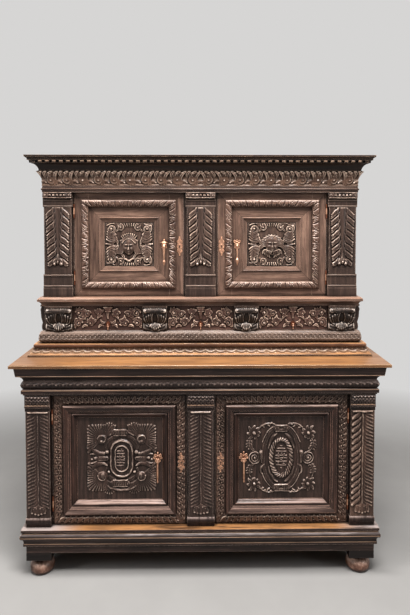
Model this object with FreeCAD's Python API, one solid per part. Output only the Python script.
"""A carved court cupboard in two stages.

X runs to the right, Y to the back and Z up, in millimetres.  The origin lies on the floor under the middle
of the table slab.  A setback is how far a face lies behind the slab's front edge.
"""

import math
import os
from types import SimpleNamespace

import FreeCAD
import Part

V = FreeCAD.Vector

# Overall sizes
overall_width = 1800.0
overall_depth = 600.0
slab_thickness = 15.0
slab_edge_chamfer = 1.5
back_overhang = 10.0
overrun = 50.0
least_edge = 0.001

# Fits
door_gap = 1.5
drawer_gap = 2.0
slide_gap = 0.3
pin_clearance = 0.05
groove_depth = 8.0

# Feet and plinth
foot_height = 81.0
bun_radius = 58.0
bun_height = 62.0
bun_flat_radius = 42.0
bun_widest_height = 27.0
bun_low_bulge = 3.0
bun_high_bulge = 8.0
foot_neck_radius = 31.0
foot_collar_radius = 37.0
foot_collar_height = 7.0
block_width = 119.0
block_height = 39.0
plinth_side_inset = 2.0
plinth_front = 27.0
plinth_lip_height = 12.0
plinth_thickness = 50.0
plinth_fascia_height = 38.0
plinth_fillet_height = 12.0
plinth_fillet_reach = 11.0
plinth_cove_height = 22.0
plinth_roll_height = 30.0
plinth_roll_foot_reach = 15.0
plinth_roll_reach = 24.0
plinth_groove_height = 7.0
plinth_groove_reach = 12.0
plinth_cove_sag = 3.0
plinth_lip_reach = 19.0
plinth_back_thickness = 30.0
bottom_board_thickness = 24.0

# Lower case
lower_side_overhang = 60.0
lower_door_setback = 65.0
lower_post_depth = 60.0
lower_post_width = 125.0
lower_centre_post_width = 139.0
back_post_width = 60.0
lower_side_thickness = 25.0
lower_side_bottom_rail = 69.0
lower_side_top_rail = 203.0
lower_top_rail_depth = 25.0
lower_door_height = 634.0
lower_top_reveal = 7.0
side_panel_thickness = 12.0
side_panel_setin = 7.0
side_panel_bevel = 40.0
back_board_thickness = 12.0
back_board_count = 8
shelf_thickness = 18.0
lower_shelf_rise = 337.0
shelf_cleat_size = 20.0
shelf_front_clearance = 5.0

# Lower pilasters
lower_pilaster_depth = 20.0
lower_pilaster_margin = 4.0
lower_shaft_margin = 3.0
lower_base_block_height = 16.0
lower_base_roll_height = 29.0
lower_base_roll_reach = 6.0
lower_capital_height = 80.0
lower_capital_neck_height = 18.0
lower_capital_fillet_height = 8.0
lower_capital_fillet_reach = 7.0
lower_capital_reach = 4.0

# Moulding under the table slab, from the post tops up
cornice_bed_height = 8.0
cornice_bed_reach = 6.0
cornice_fillet_height = 17.0
cornice_fillet_reach = 13.0
cornice_torus_gap_height = 5.0
cornice_torus_height = 41.0
cornice_torus_foot_reach = 4.0
cornice_torus_reach = 13.0
cornice_cove_height = 26.0
cornice_cove_sag = 6.0
cornice_fascia_height = 41.0
cornice_fascia_foot_reach = 32.0
cornice_fascia_reach = 38.0

# Mouldings that carry the upper case
wave_side = 50.0
wave_front = 33.0
wave_height = 42.0
wave_foot_reach = 22.0
wave_foot_height = 6.0
wave_sag = 5.0
base_board_side = 37.0
base_board_front = 37.0
base_board_height = 21.0
base_board_groove_height = 4.0
base_board_reach = 8.0
base_board_round = 3.0
torus_side = 6.0
torus_front = 20.0
torus_height = 62.0
torus_reach = 15.0

# Upper case
upper_side_setin = 52.0
upper_door_setback = 205.0
upper_post_width = 151.5
upper_post_depth = 60.0
upper_centre_post_width = 173.0
upper_rail_depth = 25.0
upper_side_thickness = 22.0
drawer_zone_height = 127.0
waist_top_height = 7.0
waist_front = 35.0
waist_side = 6.0
waist_bed_height = 6.0
waist_cyma_height = 18.0
waist_cyma_sag = 4.0
waist_tip_reach = 17.0
waist_tip_height = 12.0
waist_top_reach = 9.0
upper_door_height = 519.5
upper_door_lift = 3.0
neck_height = 31.5
neck_front = 21.0
neck_bead_height = 10.0
neck_bead_reach = 6.0
neck_foot_reach = 2.0
frieze_height = 77.0
frieze_front = 15.0
frieze_top_reach = 13.0
frieze_hollow_reach = 1.5
frieze_side = 4.0
crown_front = 20.0
crown_bed_height = 33.0
crown_bed_reach = 40.0
crown_bed_sag = 6.0
dentil_height = 11.0
dentil_width = 18.0
dentil_pitch = 34.0
dentil_reach = 9.0
dentil_band_reach = 44.0
dentil_band_height = 13.0
crown_fillet_height = 8.0
crown_fillet_reach = 57.0
crown_top_reach = 68.0
crown_slope_height = 7.5
crown_top_height = 8.0
floor_board_thickness = 20.0
dust_board_thickness = 13.0
ceiling_board_thickness = 15.0
top_board_thickness = 18.0
upper_shelf_rise = 272.0
upper_side_mid_rail = 35.0
upper_side_top_rail = 60.0

# Upper pilasters
upper_pilaster_width = 147.0
upper_centre_pilaster_width = 151.0
upper_pilaster_depth = 17.0
upper_shaft_depth = 15.0
upper_shaft_margin = 6.0
upper_plinth_height = 40.0
upper_base_height = 18.0
upper_base_reach = 3.0
upper_die_height = 45.0
upper_fillet_height = 10.0
upper_fillet_reach = 2.0
upper_capital_height = 73.0
upper_capital_cyma_height = 16.0
upper_capital_reach = 6.0
upper_capital_cushion_height = 32.0

# Corbels and drawers
corbel_width = 133.5
inner_corbel_width = 120.0
inner_corbel_middle = 229.0
corbel_reach = 42.0
corbel_waist_reach = 22.0
corbel_foot_reach = 31.0
corbel_edge = 12.0
corbel_foot_share = 0.9
corbel_bulge = 3.0
corbel_abacus_height = 9.0
corbel_abacus_reach = 45.0
corbel_scroll_share = 0.78
corbel_waist_share = 0.30
side_corbel_width = 104.0
side_corbel_scale_share = 0.5
drawer_front_thickness = 20.0
drawer_side_thickness = 10.0
drawer_bottom_thickness = 8.0
drawer_back_clearance = 33.0
drawer_box_drop = 12.0
drawer_guide_width = 14.0
drawer_guide_height = 22.0
drawer_divider_depth = 40.0
drawer_box_inset = 6.0

# Doors; each inset counts inward from the door's edge and each depth back from its face
lower_door_thickness = 28.0
lower_stile_width = 84.0
lower_panel_depth = 15.0
lower_panel_thickness = 10.0
lower_moulding_inset = 49.0
lower_moulding_width = 66.0
lower_moulding_rise = 8.0
lower_moulding_crest_rise = 15.0
lower_moulding_crest_width = 9.0
lower_moulding_step_inset = 27.0
lower_moulding_step_rise = 8.0
lower_moulding_quirk = 4.0
lower_moulding_lip = 2.0
upper_door_thickness = 24.0
upper_stile_width = 70.5
upper_panel_depth = 12.0
upper_panel_thickness = 8.0
upper_moulding_inset = 36.0
upper_moulding_rise = 5.0
upper_moulding_crest_rise = 12.0
upper_moulding_crest_inset = 20.0
upper_moulding_lip = 4.0
inner_frame_depth = 5.0
inner_frame_width = 51.5
inner_bead_width = 8.0
inner_bead_rise = 5.0
inner_moulding_width = 26.5
inner_moulding_lip = 1.0
tenon_thickness_share = 1 / 3
tenon_length = 38.0
tenon_shoulder = 12.0

# Hinges
knuckle_radius = 4.0
hinge_pin_radius = 2.0
hinge_length = 62.0
hinge_leaf_thickness = 0.6
hinge_leaf_width = 20.0
hinge_leaf_overlap = 2.8
hinge_finial_radius = 3.4
hinge_finial_height = 5.0
hinge_middle_share = 0.5
hinge_joint_gap = 0.2
lower_hinge_inset = 104.0
upper_hinge_inset = 92.0

# Locks and their plates
lock_case_width = 66.0
lock_case_height = 84.0
lock_case_depth = 15.0
lock_case_edge = 3.0
bolt_thickness = 8.0
bolt_height = 20.0
bolt_length = 46.0
bolt_travel = 9.0
bolt_back_clearance = 1.0
key_hole_radius = 3.0
key_slot_width = 3.0
key_slot_drop = 11.0
plate_thickness = 2.4
escutcheon_width = 34.0
upper_escutcheon_width = 30.0
escutcheon_height = 98.0
escutcheon_waist_share = 0.56
escutcheon_waist_height_share = 0.27
escutcheon_tip_width_share = 0.3
lower_lock_drop = 14.5
upper_lock_drop = 8.75

# Drop handles on the doors
lower_handle_margin = 23.0
lower_handle_rise = 26.5
lower_handle_length = 141.0
upper_handle_rise = 25.25
upper_handle_length = 131.0
handle_plate_width = 28.0
handle_plate_height = 56.0
handle_plate_tip_share = 0.3
handle_plate_waist_share = 0.6
handle_plate_waist_height_share = 0.22
handle_pivot_drop = 24.0
ear_thickness = 3.0
ear_gap = 7.0
ear_radius = 4.5
handle_pin_radius = 1.8
handle_reach = 19.0
tongue_thickness = 6.4
tongue_radius = 4.4
drop_neck_radius = 2.6
drop_neck_length = 16.0
drop_bulb_radius = 7.5
drop_bulb_height = 18.0
drop_rod_radius = 3.6
drop_tip_radius = 5.2
drop_tip_height = 12.0
drop_point_height = 10.0

# Drawer pulls
pull_plate_width = 20.0
pull_plate_height = 34.0
pull_plate_waist_share = 0.7
pull_plate_waist_height_share = 0.2
pull_plate_tip_share = 0.3
pull_height_share = 0.38
pull_pivot_drop = 15.0
pull_reach = 9.0
pull_length = 44.0
pull_neck_length = 6.0
pull_neck_radius = 1.8
pull_bulb_radius = 5.0
pull_bulb_height = 8.0
pull_rod_radius = 1.6
pull_tip_radius = 2.6
pull_tip_height = 4.0
pull_point_height = 3.0
pull_ear_radius = 3.2
pull_ear_thickness = 2.0
pull_ear_gap = 4.4
pull_pin_radius = 1.2
pull_tongue_thickness = 4.0
pull_tongue_radius = 3.0

# Widths and setbacks worked out from the sizes
lower_half_width = overall_width / 2 - lower_side_overhang
plinth_half_width = lower_half_width - plinth_side_inset
plinth_setback = lower_door_setback - plinth_front
upper_half_width = lower_half_width - upper_side_setin

# Levels worked out from the sizes, from the floor up
plinth_height = (plinth_fascia_height + plinth_fillet_height + plinth_cove_height + plinth_roll_height
                 + plinth_groove_height + plinth_lip_height)
plinth_bottom = foot_height + block_height
ledge_level = plinth_bottom + plinth_height
lower_rail_bottom = ledge_level + lower_door_height + 2 * door_gap
lower_cornice_bottom = lower_rail_bottom + lower_top_reveal
lower_cornice_height = (cornice_bed_height + cornice_fillet_height + cornice_torus_gap_height
                        + cornice_torus_height + cornice_cove_height + cornice_fascia_height)
slab_bottom = lower_cornice_bottom + lower_cornice_height
table_height = slab_bottom + slab_thickness
base_board_bottom = table_height + wave_height
torus_bottom = base_board_bottom + base_board_height
drawer_floor = torus_bottom + torus_height
waist_bottom = drawer_floor + drawer_zone_height
upper_floor = waist_bottom + waist_bed_height + waist_cyma_height + waist_tip_height + waist_top_height
upper_door_bottom = upper_floor + upper_door_lift
upper_door_top = upper_door_bottom + upper_door_height
neck_bottom = upper_door_top + door_gap
frieze_bottom = neck_bottom + neck_height
crown_bottom = frieze_bottom + frieze_height
crown_height = (crown_bed_height + dentil_band_height + crown_fillet_height + crown_slope_height
                + crown_top_height)
overall_height = crown_bottom + crown_height
top_board_bottom = overall_height - crown_top_height - top_board_thickness
lower_door_middle = ledge_level + door_gap + lower_door_height / 2
upper_door_middle = upper_door_bottom + upper_door_height / 2
lower_lock_level = lower_door_middle - lower_lock_drop
upper_lock_level = upper_door_middle - upper_lock_drop
case_back = overall_depth / 2 - back_overhang
board_face = case_back - back_board_thickness


def at_setback(setback):
    """Y of a face that lies this far behind the slab's front edge."""
    return setback - overall_depth / 2


def box(x_low, x_high, y_low, y_high, z_low, z_high):
    """A box between three pairs of bounds."""
    return Part.makeBox(x_high - x_low, y_high - y_low, z_high - z_low, V(x_low, y_low, z_low))


def mirrored(shape):
    """The same solid on the other side of the middle."""
    return shape.mirror(V(0, 0, 0), V(1, 0, 0))


def cylinder(radius, length, base, axis):
    """A round bar from base along axis."""
    return Part.makeCylinder(radius, length, base, axis)


def face_from(steps, place):
    """A flat face from an outline.

    steps holds (u, v) points; a third item is the middle of an arc that ends at that point.
    place turns (u, v) into a point in space.
    """
    edges = []
    here = place(*steps[0][:2])
    for step in list(steps[1:]) + [steps[0][:2]]:
        there = place(*step[:2])
        if there.distanceToPoint(here) > least_edge:
            if len(step) > 2:
                edges.append(Part.Arc(here, place(*step[2]), there).toShape())
            else:
                edges.append(Part.LineSegment(here, there).toShape())
        here = there
    return Part.Face(Part.Wire(edges))


def bow(start, end, sag):
    """The middle point of an arc from start to end that bows by sag to the left of its way."""
    run_u = end[0] - start[0]
    run_v = end[1] - start[1]
    length = math.hypot(run_u, run_v)
    middle_u = (start[0] + end[0]) / 2
    middle_v = (start[1] + end[1]) / 2
    return (middle_u - sag * run_v / length, middle_v + sag * run_u / length)


def plan_prism(points, z_low, z_high):
    """An upright prism over an outline seen from above."""
    outline = face_from(points, lambda x, y: V(x, y, z_low))
    return outline.extrude(V(0, 0, z_high - z_low))


def case_ring(profile, half_width, setback, inner_front, inner_side):
    """A moulding round the front and both sides, as three pieces mitred at the front corners.

    profile runs up the moulding's face as (reach, level) steps; reach counts outward from half_width
    at the sides and from setback at the front.
    """
    front = at_setback(setback)
    low = min(step[1] for step in profile)
    high = max(step[1] for step in profile)
    reach = max([step[0] for step in profile] + [step[2][0] for step in profile if len(step) > 2]) + overrun
    front_steps = list(profile) + [(-inner_front, profile[-1][1]), (-inner_front, profile[0][1])]
    front_face = face_from(front_steps, lambda u, v: V(-half_width - reach, front - u, v))
    front_bar = front_face.extrude(V(2 * (half_width + reach), 0, 0))
    front_plan = [
        (-half_width - reach, front - reach),
        (half_width + reach, front - reach),
        (half_width, front),
        (half_width, front + inner_front),
        (-half_width, front + inner_front),
        (-half_width, front),
    ]
    side_steps = list(profile) + [(-inner_side, profile[-1][1]), (-inner_side, profile[0][1])]
    side_face = face_from(side_steps, lambda u, v: V(half_width + u, front - reach, v))
    side_bar = side_face.extrude(V(0, case_back - front + reach, 0))
    side_plan = [
        (half_width, front),
        (half_width + reach, front - reach),
        (half_width + reach, case_back),
        (half_width - inner_side, case_back),
        (half_width - inner_side, front + inner_front),
        (half_width, front + inner_front),
    ]
    front_piece = front_bar.common(plan_prism(front_plan, low - overrun, high + overrun))
    side_piece = side_bar.common(plan_prism(side_plan, low - overrun, high + overrun))
    return [front_piece, side_piece, mirrored(side_piece)]


def upper_ring(profile, front, side):
    """A moulding round the upper case; front and side are its thickness before the posts and beside them."""
    return case_ring(profile, upper_half_width + side, upper_door_setback - front, front, side)


def frame_ring(profile, x_low, x_high, z_low, z_high, face_y):
    """A moulding round a door, as four pieces mitred at the corners.

    profile holds (inset, depth) steps; inset counts inward from the four edges and depth back from the face.
    """
    inset_low = min(step[0] for step in profile)
    inset_high = max(step[0] for step in profile)
    middle_x = (x_low + x_high) / 2
    middle_z = (z_low + z_high) / 2
    pieces = []
    for turned in (0, 1):
        half_long = (x_high - x_low) / 2 if turned == 0 else (z_high - z_low) / 2
        half_short = (z_high - z_low) / 2 if turned == 0 else (x_high - x_low) / 2
        bar_face = face_from(profile, lambda u, v: V(-half_long, v, -half_short + u))
        bar = bar_face.extrude(V(2 * half_long, 0, 0))
        low_end = half_long - inset_low
        high_end = half_long - inset_high
        wedge_steps = [
            (-low_end, -half_short + inset_low),
            (low_end, -half_short + inset_low),
            (high_end, -half_short + inset_high),
            (-high_end, -half_short + inset_high),
        ]
        wedge = face_from(wedge_steps, lambda u, v: V(u, -overrun, v)).extrude(V(0, 2 * overrun, 0))
        piece = bar.common(wedge)
        for flip in (0, 1):
            side = piece.copy()
            if turned:
                side.rotate(V(0, 0, 0), V(0, 1, 0), 90)
            if flip:
                side.rotate(V(0, 0, 0), V(0, 1, 0), 180)
            side.translate(V(middle_x, face_y, middle_z))
            pieces.append(side)
    return pieces


def turned(steps, centre, direction=None):
    """A turned solid from (radius, height) steps that start and end on its axis."""
    face = face_from(steps, lambda u, v: V(u, 0, v))
    solid = face.revolve(V(0, 0, 0), V(0, 0, 1), 360)
    if direction is not None:
        solid.Placement = FreeCAD.Placement(V(0, 0, 0), FreeCAD.Rotation(V(0, 0, 1), direction))
    solid.translate(centre)
    return solid


def bun_feet():
    """Four turned bun feet with a collar and neck under the corner blocks."""
    steps = [
        (0, 0),
        (bun_flat_radius, 0),
        (bun_radius, bun_widest_height,
         bow((bun_flat_radius, 0), (bun_radius, bun_widest_height), -bun_low_bulge)),
        (foot_neck_radius, bun_height,
         bow((bun_radius, bun_widest_height), (foot_neck_radius, bun_height), -bun_high_bulge)),
        (foot_neck_radius, foot_height - foot_collar_height),
        (foot_collar_radius, foot_height - foot_collar_height),
        (foot_collar_radius, foot_height),
        (0, foot_height),
    ]
    return [turned(steps, V(x, y, 0)) for x, y in foot_places()]


def foot_places():
    """The middles of the four feet."""
    x = plinth_half_width - block_width / 2
    front = at_setback(plinth_setback) + block_width / 2
    back = case_back - block_width / 2
    return [(-x, front), (x, front), (-x, back), (x, back)]


def plinth():
    """Corner blocks, the moulded plinth on three sides and its back rail."""
    half = block_width / 2
    pieces = []
    for x, y in foot_places():
        pieces.append(box(x - half, x + half, y - half, y + half, foot_height, plinth_bottom))
    fascia_top = plinth_bottom + plinth_fascia_height
    fillet_top = fascia_top + plinth_fillet_height
    roll_bottom = fillet_top + plinth_cove_height
    roll_top = roll_bottom + plinth_roll_height
    groove_top = roll_top + plinth_groove_height
    cove_start = (plinth_fillet_reach, fillet_top)
    cove_end = (plinth_roll_foot_reach, roll_bottom)
    profile = [
        (0, plinth_bottom),
        (0, fascia_top),
        (plinth_fillet_reach, fascia_top),
        cove_start,
        cove_end + (bow(cove_start, cove_end, plinth_cove_sag),),
        (plinth_roll_foot_reach, roll_top, (plinth_roll_reach, (roll_bottom + roll_top) / 2)),
        (plinth_groove_reach, roll_top),
        (plinth_groove_reach, groove_top),
        (plinth_lip_reach, groove_top),
        (plinth_lip_reach, ledge_level),
    ]
    pieces += case_ring(profile, plinth_half_width, plinth_setback, plinth_thickness, plinth_thickness)
    inner = plinth_half_width - plinth_thickness
    pieces.append(box(-inner, inner, case_back - plinth_back_thickness, case_back,
                      plinth_bottom, ledge_level - bottom_board_thickness))
    return pieces


def corner_posts(half_width, post_width, post_depth, setback, z_low, z_high):
    """Front and back posts at both ends of a case."""
    front = at_setback(setback)
    right_front = box(half_width - post_width, half_width, front, front + post_depth, z_low, z_high)
    right_back = box(half_width - back_post_width, half_width, case_back - back_post_width, case_back,
                     z_low, z_high)
    return [right_front, mirrored(right_front), right_back, mirrored(right_back)]


def lower_posts():
    """The four posts of the lower case, from the ledge to the slab."""
    return corner_posts(lower_half_width, lower_post_width, lower_post_depth, lower_door_setback,
                        ledge_level, slab_bottom)


def bolt_slot(inner_edge, bolt_y, height):
    """The mortise that a lock's bolt slides into, in the post beside the door."""
    reach = bolt_travel + bolt_back_clearance
    return box(inner_edge - reach, inner_edge + door_gap,
               bolt_y - bolt_thickness / 2 - slide_gap, bolt_y + bolt_thickness / 2 + slide_gap,
               height - bolt_height / 2 - slide_gap, height + bolt_height / 2 + slide_gap)


def lower_centre_post():
    """The post between the lower doors, with a mortise for each lock's bolt."""
    front = at_setback(lower_door_setback)
    half = lower_centre_post_width / 2
    post = box(-half, half, front, front + lower_post_depth, ledge_level, lower_rail_bottom)
    slot = bolt_slot(half, lower_bolt_y(), lower_lock_level)
    return post.cut(slot).cut(mirrored(slot))


def lower_frame():
    """Corner posts, the rail over the doors and the side rails of the lower case."""
    front = at_setback(lower_door_setback)
    inner = lower_half_width - lower_post_width
    rail = box(-inner, inner, front, front + lower_top_rail_depth, lower_rail_bottom, slab_bottom)
    side_front = front + lower_post_depth
    side_back = case_back - back_post_width
    low_opening = ledge_level + lower_side_bottom_rail
    high_opening = slab_bottom - lower_side_top_rail
    panel = side_panel(lower_half_width, side_front, side_back, low_opening, high_opening)
    grooves = Part.Compound([panel, mirrored(panel)])
    pieces = [post.cut(grooves) for post in lower_posts()] + [rail]
    for low, high in ((ledge_level, low_opening), (high_opening, slab_bottom)):
        side_rail = box(lower_half_width - lower_side_thickness, lower_half_width,
                        side_front, side_back, low, high).cut(grooves)
        pieces += [side_rail, mirrored(side_rail)]
    return pieces


def side_panel(half_width, y_low, y_high, z_low, z_high):
    """A fielded panel on the right side, with its edges in the grooves of its frame."""
    outer = half_width - side_panel_setin
    inner = outer - side_panel_thickness
    thin = (outer + inner) / 2
    y_edges = (y_low - groove_depth, y_high + groove_depth)
    z_edges = (z_low - groove_depth, z_high + groove_depth)
    slab = box(inner, thin, *y_edges, *z_edges)
    field = Part.makeLoft([
        rectangle_wire(thin, y_low, y_high, z_low, z_high),
        rectangle_wire(outer, y_low + side_panel_bevel, y_high - side_panel_bevel,
                       z_low + side_panel_bevel, z_high - side_panel_bevel),
    ], True, True)
    return slab.fuse(field).removeSplitter()


def rectangle_wire(x, y_low, y_high, z_low, z_high):
    """An upright rectangle across X."""
    corners = [(y_low, z_low), (y_high, z_low), (y_high, z_high), (y_low, z_high), (y_low, z_low)]
    return Part.makePolygon([V(x, y, z) for y, z in corners])


def side_panels():
    """The fielded panels in both sides of both cases."""
    panels = [
        side_panel(lower_half_width, at_setback(lower_door_setback) + lower_post_depth,
                   case_back - back_post_width,
                   ledge_level + lower_side_bottom_rail, slab_bottom - lower_side_top_rail),
    ]
    for low, high in upper_side_openings():
        panels.append(side_panel(upper_half_width, at_setback(upper_door_setback) + upper_post_depth,
                                 case_back - back_post_width, low, high))
    return panels + [mirrored(panel) for panel in panels]


def upper_side_openings():
    """Bottom and top of each panel opening in the upper case's sides."""
    return [(drawer_floor, waist_bottom),
            (upper_floor + upper_side_mid_rail, frieze_bottom - upper_side_top_rail)]


def carcass_boards():
    """Bottom board, dust board, upper floor, ceiling and top board."""
    inner = plinth_half_width - plinth_thickness
    pieces = [box(-inner, inner, at_setback(plinth_setback + plinth_thickness), case_back,
                  ledge_level - bottom_board_thickness, ledge_level)]
    frame = Part.Compound(upper_posts())
    wide = upper_half_width - upper_side_thickness
    start = at_setback(upper_door_setback) + upper_rail_depth
    for top, thickness in ((drawer_floor, dust_board_thickness),
                           (upper_floor, floor_board_thickness),
                           (frieze_bottom + ceiling_board_thickness, ceiling_board_thickness)):
        board = box(-wide, wide, start, board_face, top - thickness, top)
        pieces.append(board.cut(frame))
    pieces.append(box(-upper_half_width, upper_half_width, at_setback(upper_door_setback), case_back,
                      top_board_bottom, top_board_bottom + top_board_thickness))
    return pieces


def back_boards():
    """Upright boards that close the back of both cases."""
    pieces = []
    for half_width, low, high in (
        (lower_half_width - back_post_width, ledge_level, slab_bottom),
        (upper_half_width - back_post_width, table_height, top_board_bottom),
    ):
        step = 2 * half_width / back_board_count
        for index in range(back_board_count):
            left = -half_width + index * step
            pieces.append(box(left, left + step, board_face, case_back, low, high))
    return pieces


def shelves():
    """One shelf in each case, with the cleats that it rests on."""
    pieces = []
    for half_width, side_thickness, setback, post_depth, top in (
        (lower_half_width, lower_side_thickness, lower_door_setback, lower_post_depth,
         ledge_level + lower_shelf_rise),
        (upper_half_width, upper_side_thickness, upper_door_setback, upper_post_depth,
         upper_floor + upper_shelf_rise),
    ):
        inner = half_width - side_thickness
        front = at_setback(setback) + post_depth + shelf_front_clearance
        bottom = top - shelf_thickness
        shelf = box(-inner, inner, front, board_face, bottom, top)
        back_post = box(half_width - back_post_width, half_width, case_back - back_post_width, case_back,
                        bottom - overrun, top + overrun)
        pieces.append(shelf.cut(back_post).cut(mirrored(back_post)))
        cleat = box(inner - shelf_cleat_size, inner, at_setback(setback) + post_depth,
                    case_back - back_post_width, bottom - shelf_cleat_size, bottom)
        pieces += [cleat, mirrored(cleat)]
    return pieces


def table_top():
    """The table slab, with its upper and lower edges eased."""
    slab = box(-overall_width / 2, overall_width / 2, -overall_depth / 2, overall_depth / 2,
               slab_bottom, table_height)
    long_edges = [edge for edge in slab.Edges if edge.Length > 2 * slab_thickness]
    return [slab.makeChamfer(slab_edge_chamfer, long_edges)]


def lower_cornice():
    """The moulding under the slab: bed, fillet, torus, cove and fascia."""
    bed_top = lower_cornice_bottom + cornice_bed_height
    fillet_top = bed_top + cornice_fillet_height
    torus_low = fillet_top + cornice_torus_gap_height
    torus_high = torus_low + cornice_torus_height
    cove_top = torus_high + cornice_cove_height
    cove_start = (cornice_torus_foot_reach, torus_high)
    cove_end = (cornice_fascia_foot_reach, cove_top)
    profile = [
        (cornice_bed_reach, lower_cornice_bottom),
        (cornice_bed_reach, bed_top),
        (cornice_fillet_reach, bed_top),
        (cornice_fillet_reach, fillet_top),
        (cornice_torus_foot_reach, torus_low),
        cove_start + ((cornice_torus_reach, (torus_low + torus_high) / 2),),
        cove_end + (bow(cove_start, cove_end, cornice_cove_sag),),
        (cornice_fascia_reach, slab_bottom),
    ]
    return case_ring(profile, lower_half_width, lower_door_setback - lower_pilaster_depth,
                     lower_pilaster_depth, 0)


def pilaster_places(outer, width, centre_width):
    """Left and right bounds of the three pilasters on a case."""
    half_centre = centre_width / 2
    return [(-outer, width - outer), (-half_centre, half_centre), (outer - width, outer)]


def lower_pilasters():
    """Three pilasters on the lower posts, each with a base, a shaft and a capital."""
    post_face = at_setback(lower_door_setback)
    face = post_face - lower_pilaster_depth
    width = lower_post_width - lower_pilaster_margin
    centre_width = lower_centre_post_width - 2 * lower_pilaster_margin
    base_top = ledge_level + lower_base_block_height + lower_base_roll_height
    capital_bottom = lower_cornice_bottom - lower_capital_height
    pieces = []
    for left, right in pilaster_places(lower_half_width, width, centre_width):
        roll_bottom = ledge_level + lower_base_block_height
        roll_middle = (face - lower_base_roll_reach, (roll_bottom + base_top) / 2)
        base_steps = [(post_face, ledge_level), (face, ledge_level), (face, roll_bottom),
                      (face, base_top, roll_middle), (post_face, base_top)]
        pieces.append(face_from(base_steps, lambda y, z: V(left, y, z)).extrude(V(right - left, 0, 0)))
        pieces.append(box(left + lower_shaft_margin, right - lower_shaft_margin, face, post_face,
                          base_top, capital_bottom))
        neck_top = capital_bottom + lower_capital_neck_height
        fillet_top = neck_top + lower_capital_fillet_height
        capital_steps = [
            (post_face, capital_bottom), (face, capital_bottom), (face, neck_top),
            (face - lower_capital_fillet_reach, neck_top), (face - lower_capital_fillet_reach, fillet_top),
            (face - lower_capital_reach, fillet_top), (face - lower_capital_reach, lower_cornice_bottom),
            (post_face, lower_cornice_bottom),
        ]
        pieces.append(face_from(capital_steps, lambda y, z: V(left, y, z)).extrude(V(right - left, 0, 0)))
    return pieces


def wave_moulding():
    """The hollow moulding that seats the upper case on the slab."""
    start = (wave_foot_reach, table_height + wave_foot_height)
    end = (0, base_board_bottom)
    profile = [(wave_foot_reach, table_height), start, end + (bow(start, end, wave_sag),)]
    return upper_ring(profile, wave_front, wave_side)


def upper_base_board():
    """The flat board with a rounded nose between the wave moulding and the torus."""
    groove_top = base_board_bottom + base_board_groove_height
    nose = base_board_reach - base_board_round
    profile = [
        (0, base_board_bottom),
        (0, groove_top),
        (nose, groove_top),
        (nose, torus_bottom, (base_board_reach, (groove_top + torus_bottom) / 2)),
    ]
    return upper_ring(profile, base_board_front, base_board_side)


def torus_moulding():
    """The half-round moulding under the drawers."""
    profile = [
        (0, torus_bottom),
        (0, drawer_floor, (torus_reach, (torus_bottom + drawer_floor) / 2)),
    ]
    return upper_ring(profile, torus_front, torus_side)


def upper_posts():
    """The upper case's corner posts before they are grooved."""
    return corner_posts(upper_half_width, upper_post_width, upper_post_depth, upper_door_setback,
                        table_height, top_board_bottom)


def upper_centre_post():
    """The post between the upper doors, with a mortise for each lock's bolt."""
    front = at_setback(upper_door_setback)
    half = upper_centre_post_width / 2
    post = box(-half, half, front, front + upper_post_depth, upper_floor, neck_bottom)
    slot = bolt_slot(half, upper_bolt_y(), upper_lock_level)
    return post.cut(slot).cut(mirrored(slot))


def upper_frame():
    """Posts, front rails and side rails of the upper case."""
    front = at_setback(upper_door_setback)
    back = front + upper_rail_depth
    inner = upper_half_width - upper_post_width
    pieces = [
        box(-inner, inner, front, back, table_height, drawer_floor),
        box(-inner, inner, front, back, waist_bottom, upper_floor),
        box(-inner, inner, front, back, neck_bottom, top_board_bottom),
    ]
    for middle in (-inner_corbel_middle, inner_corbel_middle):
        half = inner_corbel_width / 2
        pieces.append(box(middle - half, middle + half, front, front + drawer_divider_depth,
                          drawer_floor, waist_bottom))
    panels = []
    side_front = front + upper_post_depth
    side_back = case_back - back_post_width
    for low, high in upper_side_openings():
        panel = side_panel(upper_half_width, side_front, side_back, low, high)
        panels += [panel, mirrored(panel)]
    grooves = Part.Compound(panels)
    edges = [table_height] + [level for pair in upper_side_openings() for level in pair] + [top_board_bottom]
    for low, high in zip(edges[0::2], edges[1::2]):
        rail = box(upper_half_width - upper_side_thickness, upper_half_width,
                   side_front, side_back, low, high).cut(grooves)
        pieces += [rail, mirrored(rail)]
    return [post.cut(grooves) for post in upper_posts()] + pieces


def waist_moulding():
    """The moulding under the upper doors, with a weathered top."""
    bed_top = waist_bottom + waist_bed_height
    cyma_top = bed_top + waist_cyma_height
    tip_top = cyma_top + waist_tip_height
    start = (0, bed_top)
    end = (waist_tip_reach, cyma_top)
    profile = [
        (0, waist_bottom),
        start,
        end + (bow(start, end, waist_cyma_sag),),
        (waist_tip_reach, tip_top),
        (waist_top_reach, upper_floor),
    ]
    return upper_ring(profile, waist_front, waist_side)


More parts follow.
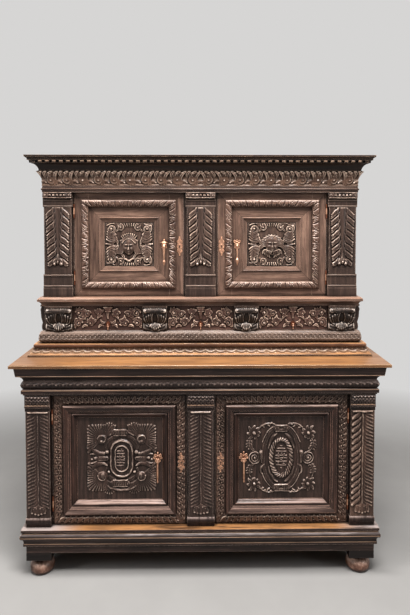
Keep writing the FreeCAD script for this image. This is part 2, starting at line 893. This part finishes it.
def upper_pilasters():
    """Three pilasters on the upper posts, each with a base, a shaft and a capital."""
    post_face = at_setback(upper_door_setback)
    block_face = post_face - upper_pilaster_depth
    shaft_face = post_face - upper_shaft_depth
    plinth_top = upper_floor + upper_plinth_height
    base_top = plinth_top + upper_base_height
    die_top = base_top + upper_die_height
    fillet_top = die_top + upper_fillet_height
    capital_bottom = neck_bottom - upper_capital_height
    cyma_top = capital_bottom + upper_capital_cyma_height
    cushion_bottom = neck_bottom - upper_capital_cushion_height
    pieces = []
    for left, right in pilaster_places(upper_half_width, upper_pilaster_width, upper_centre_pilaster_width):
        width = V(right - left, 0, 0)
        base_steps = [
            (post_face, upper_floor), (block_face - upper_base_reach, upper_floor),
            (block_face - upper_base_reach, plinth_top), (shaft_face, base_top),
            (shaft_face, die_top), (shaft_face - upper_fillet_reach, die_top),
            (shaft_face - upper_fillet_reach, fillet_top), (post_face, fillet_top),
        ]
        pieces.append(face_from(base_steps, lambda y, z: V(left, y, z)).extrude(width))
        pieces.append(box(left + upper_shaft_margin, right - upper_shaft_margin, shaft_face, post_face,
                          fillet_top, capital_bottom))
        cushion_middle = (block_face - upper_capital_reach, (cushion_bottom + neck_bottom) / 2)
        capital_steps = [
            (post_face, capital_bottom), (shaft_face, capital_bottom), (block_face, cyma_top),
            (block_face, cushion_bottom), (block_face, neck_bottom, cushion_middle),
            (post_face, neck_bottom),
        ]
        pieces.append(face_from(capital_steps, lambda y, z: V(left, y, z)).extrude(width))
    return pieces


def corbel_profile(reach_share):
    """A corbel's side outline, as (reach, height) steps from its foot to its top."""
    scroll = corbel_reach * reach_share
    waist = corbel_waist_reach * reach_share
    foot = corbel_foot_reach * reach_share
    abacus = corbel_abacus_reach * reach_share
    abacus_low = drawer_zone_height - corbel_abacus_height
    scroll_level = abacus_low * corbel_scroll_share
    waist_level = abacus_low * corbel_waist_share
    belly = (scroll, scroll_level)
    hollow = (waist, waist_level)
    return [
        (0, 0),
        (foot * corbel_foot_share, 0),
        hollow + ((foot, waist_level / 2),),
        belly + (bow(hollow, belly, -corbel_bulge * reach_share),),
        (foot, abacus_low, bow(belly, (foot, abacus_low), -corbel_bulge * reach_share)),
        (abacus, abacus_low),
        (abacus, drawer_zone_height),
        (0, drawer_zone_height),
    ]


def corbels():
    """Four scrolled corbels beside the drawers and one on each side of the case."""
    face = at_setback(upper_door_setback)
    pieces = []
    half = inner_corbel_width / 2
    places = [(-upper_half_width + corbel_edge, corbel_width),
              (-inner_corbel_middle - half, inner_corbel_width),
              (inner_corbel_middle - half, inner_corbel_width),
              (upper_half_width - corbel_edge - corbel_width, corbel_width)]
    for left, width in places:
        outline = face_from(corbel_profile(1), lambda u, v: V(left, face - u, drawer_floor + v))
        pieces.append(outline.extrude(V(width, 0, 0)))
    outline = face_from(corbel_profile(side_corbel_scale_share),
                        lambda u, v: V(upper_half_width + u, face, drawer_floor + v))
    side = outline.extrude(V(0, side_corbel_width, 0))
    return pieces + [side, mirrored(side)]


def frieze():
    """The moulding over the upper doors and the carved frieze that flares above it."""
    bead_top = neck_bottom + neck_bead_height + neck_bead_height
    bead_low = neck_bottom + neck_bead_height
    neck_profile = [
        (neck_foot_reach, neck_bottom),
        (neck_foot_reach, bead_low),
        (neck_foot_reach, bead_top, (neck_bead_reach, (bead_low + bead_top) / 2)),
        (0, frieze_bottom),
    ]
    neck = upper_ring(neck_profile, neck_front, 0)
    level = frieze_bottom + frieze_height / 2
    profile = [
        (0, frieze_bottom),
        (frieze_hollow_reach, level, (-frieze_hollow_reach, (frieze_bottom + level) / 2)),
        (frieze_top_reach, crown_bottom,
         bow((frieze_hollow_reach, level), (frieze_top_reach, crown_bottom), frieze_hollow_reach)),
    ]
    return neck + upper_ring(profile, frieze_front, frieze_side)


def crown():
    """The crowning cornice: bed, dentil band, fillet and cyma, with its dentils."""
    bed_top = crown_bottom + crown_bed_height
    band_top = bed_top + dentil_band_height
    slope_top = overall_height - crown_top_height
    bed_start = (frieze_top_reach, crown_bottom)
    bed_end = (crown_bed_reach, bed_top)
    profile = [
        bed_start,
        bed_end + (bow(bed_start, bed_end, crown_bed_sag),),
        (dentil_band_reach, bed_top),
        (dentil_band_reach, band_top),
        (crown_fillet_reach, band_top),
        (crown_fillet_reach, band_top + crown_fillet_height),
        (crown_top_reach, slope_top),
        (crown_top_reach, overall_height),
    ]
    pieces = upper_ring(profile, crown_front, 0)
    front = at_setback(upper_door_setback) - crown_front
    low = band_top - dentil_height
    reach = upper_half_width + dentil_band_reach
    face = front - dentil_band_reach
    count = int((2 * reach - dentil_width) // dentil_pitch)
    start = -count * dentil_pitch / 2
    for index in range(count + 1):
        middle = start + index * dentil_pitch
        pieces.append(box(middle - dentil_width / 2, middle + dentil_width / 2,
                          face - dentil_reach, face, low, band_top))
    side_count = int((case_back - face) // dentil_pitch)
    for index in range(side_count):
        middle = face + dentil_width + index * dentil_pitch
        side = box(reach, reach + dentil_reach, middle - dentil_width / 2, middle + dentil_width / 2,
                   low, band_top)
        pieces += [side, mirrored(side)]
    return pieces


def drawer_places():
    """Left and right bounds of each drawer front, by name."""
    inner = inner_corbel_middle - inner_corbel_width / 2
    outer_low = inner_corbel_middle + inner_corbel_width / 2
    outer_high = upper_half_width - corbel_edge - corbel_width
    return {
        "left": (-outer_high + drawer_gap, -outer_low - drawer_gap),
        "middle": (-inner + drawer_gap, inner - drawer_gap),
        "right": (outer_low + drawer_gap, outer_high - drawer_gap),
    }


def drawer_box_bounds(left, right):
    """Left and right sides of a drawer's box, clear of the posts."""
    return left + drawer_box_inset, right - drawer_box_inset


def drawer_guides():
    """Strips on the dust board that guide the drawer boxes."""
    start = at_setback(upper_door_setback) + upper_post_depth
    pieces = []
    for left, right in drawer_places().values():
        box_left, box_right = drawer_box_bounds(left, right)
        for edge in (box_left - 2 * slide_gap - drawer_guide_width, box_right + 2 * slide_gap):
            pieces.append(box(edge, edge + drawer_guide_width, start, board_face,
                              drawer_floor, drawer_floor + drawer_guide_height))
    return pieces


def drawer_front(left, right):
    """A drawer's front board."""
    face = at_setback(upper_door_setback) - drawer_front_thickness
    return [box(left, right, face, face + drawer_front_thickness,
                drawer_floor + drawer_gap, waist_bottom - drawer_gap)]


def drawer_box(left, right):
    """A drawer's bottom, sides and back."""
    low, high = drawer_box_bounds(left, right)
    front = at_setback(upper_door_setback)
    back = board_face - drawer_back_clearance
    bottom = drawer_floor + slide_gap
    top = waist_bottom - drawer_box_drop
    side = drawer_side_thickness
    floor = bottom + drawer_bottom_thickness
    return [
        box(low, high, front, back, bottom, floor),
        box(low, low + side, front, back, floor, top),
        box(high - side, high, front, back, floor, top),
        box(low + side, high - side, back - side, back, floor, top),
    ]


def lower_bolt_y():
    """Y of the middle of the lower locks' bolts."""
    return at_setback(lower_door_setback) + lower_door_thickness + lock_case_depth / 2


def upper_bolt_y():
    """Y of the middle of the upper locks' bolts."""
    return at_setback(upper_door_setback) + upper_door_thickness + lock_case_depth / 2


def lower_door_bounds():
    """Left, right, bottom and top of the right-hand lower door."""
    return (lower_centre_post_width / 2 + door_gap, lower_half_width - lower_post_width - door_gap,
            ledge_level + door_gap, ledge_level + door_gap + lower_door_height)


def upper_door_bounds():
    """Left, right, bottom and top of the right-hand upper door."""
    return (upper_centre_post_width / 2 + door_gap, upper_half_width - upper_post_width - door_gap,
            upper_door_bottom, upper_door_top)


def framed_door(bounds, setback, thickness, stile, panel_depth, panel_thickness):
    """A door's two stiles and two rails, tenoned together and grooved, and the panel in the grooves."""
    left, right, bottom, top = bounds
    face = at_setback(setback)
    back = face + thickness
    panel_front = face + panel_depth
    panel = box(left + stile - groove_depth, right - stile + groove_depth,
                panel_front, panel_front + panel_thickness,
                bottom + stile - groove_depth, top - stile + groove_depth)
    tongue = thickness * tenon_thickness_share
    tongue_front = face + (thickness - tongue) / 2
    rails = []
    for low in (bottom, top - stile):
        body = box(left + stile, right - stile, face, back, low, low + stile)
        tenon = box(left + stile - tenon_length, right - stile + tenon_length,
                    tongue_front, tongue_front + tongue, low + tenon_shoulder, low + stile - tenon_shoulder)
        rails.append(body.fuse(tenon).removeSplitter().cut(panel))
    stiles = []
    for side in (left, right - stile):
        upright = box(side, side + stile, face, back, bottom, top).cut(panel)
        for rail in rails:
            upright = upright.cut(rail)
        stiles.append(upright)
    return stiles + rails, panel


def lower_door():
    """The right-hand lower door: frame, bolection moulding and panel."""
    bounds = lower_door_bounds()
    frame, panel = framed_door(bounds, lower_door_setback, lower_door_thickness, lower_stile_width,
                               lower_panel_depth, lower_panel_thickness)
    inset = lower_moulding_inset
    crest = (inset + lower_moulding_crest_width, -lower_moulding_crest_rise)
    step = inset + lower_moulding_step_inset
    inner = inset + lower_moulding_width
    profile = [
        (inset, 0),
        (inset, -lower_moulding_rise),
        crest + (bow((inset, -lower_moulding_rise), crest, -lower_moulding_lip),),
        (step, -lower_moulding_step_rise),
        (step, -lower_moulding_quirk),
        (inner, lower_panel_depth - lower_moulding_lip),
        (inner, lower_panel_depth),
        (lower_stile_width, lower_panel_depth),
        (lower_stile_width, 0),
    ]
    moulding = frame_ring(profile, *bounds, at_setback(lower_door_setback))
    return frame, moulding, panel


def upper_door():
    """The right-hand upper door: frame, raised moulding, inner frame with its own moulding, and panel."""
    bounds = upper_door_bounds()
    frame, panel = framed_door(bounds, upper_door_setback, upper_door_thickness, upper_stile_width,
                               upper_panel_depth, upper_panel_thickness)
    inset = upper_moulding_inset
    start = (inset, -upper_moulding_rise)
    crest = (inset + upper_moulding_crest_inset, -upper_moulding_crest_rise)
    end = (upper_stile_width, -upper_moulding_lip)
    outer = [
        (inset, 0),
        start,
        crest + (bow(start, crest, -upper_moulding_lip),),
        end + (bow(crest, end, -upper_moulding_lip / 2),),
        (upper_stile_width, 0),
    ]
    bead = upper_stile_width + inner_frame_width
    bead_end = bead + inner_bead_width
    panel_edge = bead + inner_moulding_width
    bead_top = inner_frame_depth - inner_bead_rise
    slope_start = (bead_end, bead_top + inner_bead_rise / 2)
    slope_end = (panel_edge, upper_panel_depth - inner_moulding_lip)
    inner = [
        (upper_stile_width, upper_panel_depth),
        (upper_stile_width, inner_frame_depth),
        (bead, inner_frame_depth),
        (bead_end, inner_frame_depth, (bead + inner_bead_width / 2, bead_top)),
        slope_end + (bow(slope_start, slope_end, inner_moulding_lip),),
        (panel_edge, upper_panel_depth),
    ]
    face = at_setback(upper_door_setback)
    moulding = frame_ring(outer, *bounds, face) + frame_ring(inner, *bounds, face)
    return frame, moulding, panel


def hinge_levels(bounds, inset):
    """Middles of a door's two hinges."""
    return (bounds[2] + inset, bounds[3] - inset)


def hinge_axis(bounds, setback):
    """X and Y of the right-hand door's hinge pins, in the middle of the gap and proud of the face."""
    return bounds[1] + door_gap / 2, at_setback(setback) - knuckle_radius


def hinge(bounds, setback, level):
    """One hinge: its fixed leaf with two knuckles, its pin, and its moving leaf with the middle knuckle."""
    x, y = hinge_axis(bounds, setback)
    low = level - hinge_length / 2
    middle = hinge_length * hinge_middle_share
    ends = (hinge_length - middle) / 2
    up = V(0, 0, 1)
    pin_length = hinge_length + 2 * hinge_finial_height
    pin = cylinder(hinge_pin_radius, pin_length, V(x, y, low - hinge_finial_height), up)
    finials = []
    for base in (low - hinge_finial_height, low + hinge_length):
        finials.append(cylinder(hinge_finial_radius, hinge_finial_height, V(x, y, base), up))
    pin = pin.fuse(finials).removeSplitter()
    bore = cylinder(hinge_pin_radius + pin_clearance, hinge_length, V(x, y, low), up)
    leaf_start = y + hinge_leaf_overlap
    leaf_end = at_setback(setback) + hinge_leaf_width
    moving = cylinder(knuckle_radius, middle - 2 * hinge_joint_gap, V(x, y, low + ends + hinge_joint_gap), up)
    door_edge = bounds[1]
    moving_leaf = box(door_edge, door_edge + hinge_leaf_thickness, leaf_start, leaf_end,
                      low + ends + hinge_joint_gap, low + ends + middle - hinge_joint_gap)
    moving = moving.fuse(moving_leaf).removeSplitter().cut(bore)
    post_edge = door_edge + door_gap
    fixed = [cylinder(knuckle_radius, ends, V(x, y, base), up) for base in (low, low + ends + middle)]
    fixed_leaf = box(post_edge - hinge_leaf_thickness, post_edge, at_setback(setback), leaf_end,
                     low, low + hinge_length)
    tabs = [box(post_edge - hinge_leaf_thickness, post_edge, leaf_start, leaf_end, base, base + ends)
            for base in (low, low + ends + middle)]
    fixed = fixed_leaf.fuse(fixed + tabs).removeSplitter().cut(bore)
    return [fixed, pin], moving


def shaped_plate(centre_x, face_y, centre_z, width, height, waist_share, waist_height_share, tip_share):
    """A fretted plate with a waist, lobes and narrow tips above and below."""
    half = width / 2
    tall = height / 2
    waist = half * waist_share
    waist_level = tall * waist_height_share
    tip = half * tip_share
    shoulder = (half + tip) / 2
    shoulder_level = (tall + waist_level) / 2
    right_side = [
        (tip, -tall),
        (shoulder, -shoulder_level, (tip, -(tall + shoulder_level) / 2)),
        (waist, -waist_level, (half, -(shoulder_level + waist_level) / 2)),
        (waist, waist_level, (half, 0)),
        (shoulder, shoulder_level, (half, (shoulder_level + waist_level) / 2)),
        (tip, tall, (tip, (tall + shoulder_level) / 2)),
    ]
    left_side = [(-u, v) for u, v in [step[:2] for step in reversed(right_side)]]
    middles = [step[2] for step in reversed(right_side[1:])]
    mirrored_side = [left_side[0]]
    for point, middle in zip(left_side[1:], middles):
        mirrored_side.append(point + ((-middle[0], middle[1]),))
    outline = face_from(right_side + mirrored_side, lambda u, v: V(centre_x + u, face_y, centre_z + v))
    return outline.extrude(V(0, -plate_thickness, 0))


def escutcheon(centre_x, face_y, centre_z, width):
    """A tall plate with a keyhole through it."""
    plate = shaped_plate(centre_x, face_y, centre_z, width, escutcheon_height,
                         escutcheon_waist_share, escutcheon_waist_height_share, escutcheon_tip_width_share)
    eye = cylinder(key_hole_radius, plate_thickness + overrun, V(centre_x, face_y + overrun / 2, centre_z),
                   V(0, -1, 0))
    slot = box(centre_x - key_slot_width / 2, centre_x + key_slot_width / 2,
               face_y - overrun, face_y + overrun / 2, centre_z - key_slot_drop, centre_z)
    return plate.cut(eye.fuse(slot))


def pull_plate(x, face_y, top, sizes):
    """The plate of a drop pull, with two ears and the pin between them."""
    pivot_y, pivot_z = pull_pivot(face_y, top, sizes)
    plate = shaped_plate(x, face_y, top - sizes.plate_height / 2, sizes.plate_width, sizes.plate_height,
                         sizes.waist_share, sizes.waist_height_share, sizes.tip_share)
    for side in (-sizes.ear_gap / 2 - sizes.ear_thickness, sizes.ear_gap / 2):
        block = box(x + side, x + side + sizes.ear_thickness, pivot_y, face_y - plate_thickness,
                    pivot_z - sizes.ear_radius, pivot_z + sizes.ear_radius)
        round_end = cylinder(sizes.ear_radius, sizes.ear_thickness, V(x + side, pivot_y, pivot_z), V(1, 0, 0))
        plate = plate.fuse(block.fuse(round_end))
    pin_start = V(x - sizes.ear_gap / 2 - sizes.ear_thickness, pivot_y, pivot_z)
    pin = cylinder(sizes.pin_radius, sizes.ear_gap + 2 * sizes.ear_thickness, pin_start, V(1, 0, 0))
    return [plate.removeSplitter().cut(pin), pin]


def pull_pivot(face_y, top, sizes):
    """Y and Z of a drop pull's pin."""
    return face_y - sizes.reach, top - sizes.pivot_drop


def drop_pull(x, face_y, top, length, sizes):
    """A drop that hangs on its pin: an eye, a neck, a bulb, a slender rod and a pointed tip."""
    pivot_y, pivot_z = pull_pivot(face_y, top, sizes)
    bottom = top - length
    bulb_low = pivot_z - sizes.neck_length - sizes.bulb_height
    tip_top = bottom + sizes.point_height + sizes.tip_height
    bulb_middle = (sizes.bulb_radius, bulb_low + sizes.bulb_height / 2)
    tip_middle = (sizes.tip_radius, (bottom + sizes.point_height + tip_top) / 2)
    steps = [
        (0, bottom),
        (sizes.neck_radius, bottom + sizes.point_height),
        (sizes.neck_radius, tip_top, tip_middle),
        (sizes.rod_radius, (tip_top + bulb_low) / 2),
        (sizes.rod_radius, bulb_low),
        (sizes.neck_radius, bulb_low + sizes.bulb_height, bulb_middle),
        (sizes.neck_radius, pivot_z),
        (0, pivot_z),
    ]
    body = turned(steps, V(x, pivot_y, 0))
    eye = cylinder(sizes.tongue_radius, sizes.tongue_thickness,
                   V(x - sizes.tongue_thickness / 2, pivot_y, pivot_z), V(1, 0, 0))
    hole_length = sizes.tongue_thickness + overrun
    hole = cylinder(sizes.pin_radius + pin_clearance, hole_length,
                    V(x - hole_length / 2, pivot_y, pivot_z), V(1, 0, 0))
    return [body.fuse(eye).removeSplitter().cut(hole)]


def door_pull_sizes():
    """Sizes of the drop handles on the doors."""
    return SimpleNamespace(
        plate_width=handle_plate_width, plate_height=handle_plate_height,
        waist_share=handle_plate_waist_share, waist_height_share=handle_plate_waist_height_share,
        tip_share=handle_plate_tip_share, reach=handle_reach, pivot_drop=handle_pivot_drop,
        ear_gap=ear_gap, ear_thickness=ear_thickness, ear_radius=ear_radius, pin_radius=handle_pin_radius,
        tongue_radius=tongue_radius, tongue_thickness=tongue_thickness,
        neck_radius=drop_neck_radius, neck_length=drop_neck_length,
        bulb_radius=drop_bulb_radius, bulb_height=drop_bulb_height, rod_radius=drop_rod_radius,
        tip_radius=drop_tip_radius, tip_height=drop_tip_height, point_height=drop_point_height,
    )


def drawer_pull_sizes():
    """Sizes of the small drop pulls on the drawers."""
    return SimpleNamespace(
        plate_width=pull_plate_width, plate_height=pull_plate_height,
        waist_share=pull_plate_waist_share, waist_height_share=pull_plate_waist_height_share,
        tip_share=pull_plate_tip_share, reach=pull_reach, pivot_drop=pull_pivot_drop,
        ear_gap=pull_ear_gap, ear_thickness=pull_ear_thickness, ear_radius=pull_ear_radius,
        pin_radius=pull_pin_radius, tongue_radius=pull_tongue_radius,
        tongue_thickness=pull_tongue_thickness, neck_radius=pull_neck_radius,
        neck_length=pull_neck_length, bulb_radius=pull_bulb_radius, bulb_height=pull_bulb_height,
        rod_radius=pull_rod_radius, tip_radius=pull_tip_radius, tip_height=pull_tip_height,
        point_height=pull_point_height,
    )


def lock(bounds, bolt_y, level):
    """The right-hand door's rim lock: the case behind the stile, and its bolt drawn back."""
    edge = bounds[0]
    case_front = bolt_y - lock_case_depth / 2
    case = box(edge + lock_case_edge, edge + lock_case_edge + lock_case_width,
               case_front, case_front + lock_case_depth,
               level - lock_case_height / 2, level + lock_case_height / 2)
    bolt_low = edge + lock_case_edge
    channel = box(bolt_low - overrun, bolt_low + bolt_length + bolt_back_clearance,
                  bolt_y - bolt_thickness / 2 - slide_gap, bolt_y + bolt_thickness / 2 + slide_gap,
                  level - bolt_height / 2 - slide_gap, level + bolt_height / 2 + slide_gap)
    bolt = box(bolt_low, bolt_low + bolt_length, bolt_y - bolt_thickness / 2, bolt_y + bolt_thickness / 2,
               level - bolt_height / 2, level + bolt_height / 2)
    return case.cut(channel), bolt


def door_nodes(kind):
    """Every node of one right-hand door, by the last part of its name, and its fixed hinge leaves."""
    sizes = door_pull_sizes()
    if kind == "lower":
        bounds, setback = lower_door_bounds(), lower_door_setback
        frame, moulding, panel = lower_door()
        plate_x = bounds[0] + lower_moulding_inset / 2
        plate_width = escutcheon_width
        level, bolt_y, hinge_inset = lower_lock_level, lower_bolt_y(), lower_hinge_inset
        pull_x = bounds[0] + lower_moulding_inset + lower_moulding_width + lower_handle_margin
        pull_top, pull_length = lower_door_middle + lower_handle_rise, lower_handle_length
        pull_face = at_setback(setback) + lower_panel_depth
    else:
        bounds, setback = upper_door_bounds(), upper_door_setback
        frame, moulding, panel = upper_door()
        plate_x = bounds[0] + upper_moulding_inset / 2
        plate_width = upper_escutcheon_width
        level, bolt_y, hinge_inset = upper_lock_level, upper_bolt_y(), upper_hinge_inset
        pull_x = bounds[0] + upper_stile_width + inner_frame_width / 2
        pull_top, pull_length = upper_door_middle + upper_handle_rise, upper_handle_length
        pull_face = at_setback(setback) + inner_frame_depth
    fixed_leaves = []
    moving_leaves = []
    for hinge_middle in hinge_levels(bounds, hinge_inset):
        fixed, moving = hinge(bounds, setback, hinge_middle)
        fixed_leaves += fixed
        moving_leaves.append(moving)
    case, bolt = lock(bounds, bolt_y, level)
    fittings = [escutcheon(plate_x, at_setback(setback), level, plate_width), case]
    fittings += pull_plate(pull_x, pull_face, pull_top, sizes) + moving_leaves
    nodes = {
        "frame": frame,
        "moulding": moulding,
        "panel": [panel],
        "fittings": fittings,
        "handle": drop_pull(pull_x, pull_face, pull_top, pull_length, sizes),
        "bolt": [bolt],
    }
    return nodes, fixed_leaves


def drawer_nodes(left, right):
    """Every node of one drawer, by the last part of its name."""
    sizes = drawer_pull_sizes()
    middle = (left + right) / 2
    face = at_setback(upper_door_setback) - drawer_front_thickness
    top = drawer_floor + drawer_zone_height * pull_height_share
    return {
        "front": drawer_front(left, right),
        "box": drawer_box(left, right),
        "pull_plate": pull_plate(middle, face, top, sizes),
        "pull": drop_pull(middle, face, top, pull_length, sizes),
    }


def all_nodes():
    """Every node of the cupboard with its solids, by name."""
    nodes = {
        "bun_feet": bun_feet(),
        "plinth": plinth(),
        "carcass_boards": carcass_boards(),
        "lower_frame": lower_frame(),
        "lower_centre_post": [lower_centre_post()],
        "side_panels": side_panels(),
        "back_boards": back_boards(),
        "shelves": shelves(),
        "lower_pilasters": lower_pilasters(),
        "lower_cornice": lower_cornice(),
        "table_top": table_top(),
        "wave_moulding": wave_moulding(),
        "upper_base_board": upper_base_board(),
        "torus_moulding": torus_moulding(),
        "upper_frame": upper_frame(),
        "upper_centre_post": [upper_centre_post()],
        "drawer_guides": drawer_guides(),
        "corbels": corbels(),
        "waist_moulding": waist_moulding(),
        "upper_pilasters": upper_pilasters(),
        "frieze": frieze(),
        "crown": crown(),
    }
    fixed_leaves = []
    for kind in ("lower", "upper"):
        door, leaves = door_nodes(kind)
        fixed_leaves += leaves
        for part, solids in door.items():
            nodes[f"{kind}_right_door_{part}"] = solids
            nodes[f"{kind}_left_door_{part}"] = [mirrored(solid) for solid in solids]
    nodes["hinge_leaves"] = fixed_leaves + [mirrored(solid) for solid in fixed_leaves]
    for name, (left, right) in drawer_places().items():
        for part, solids in drawer_nodes(left, right).items():
            nodes[f"{name}_drawer_{part}"] = solids
    return nodes


def main():
    """Write each node to its own file."""
    os.makedirs("parts", exist_ok=True)
    for name, solids in all_nodes().items():
        Part.Compound(solids).exportStep(f"parts/{name}.step")


main()
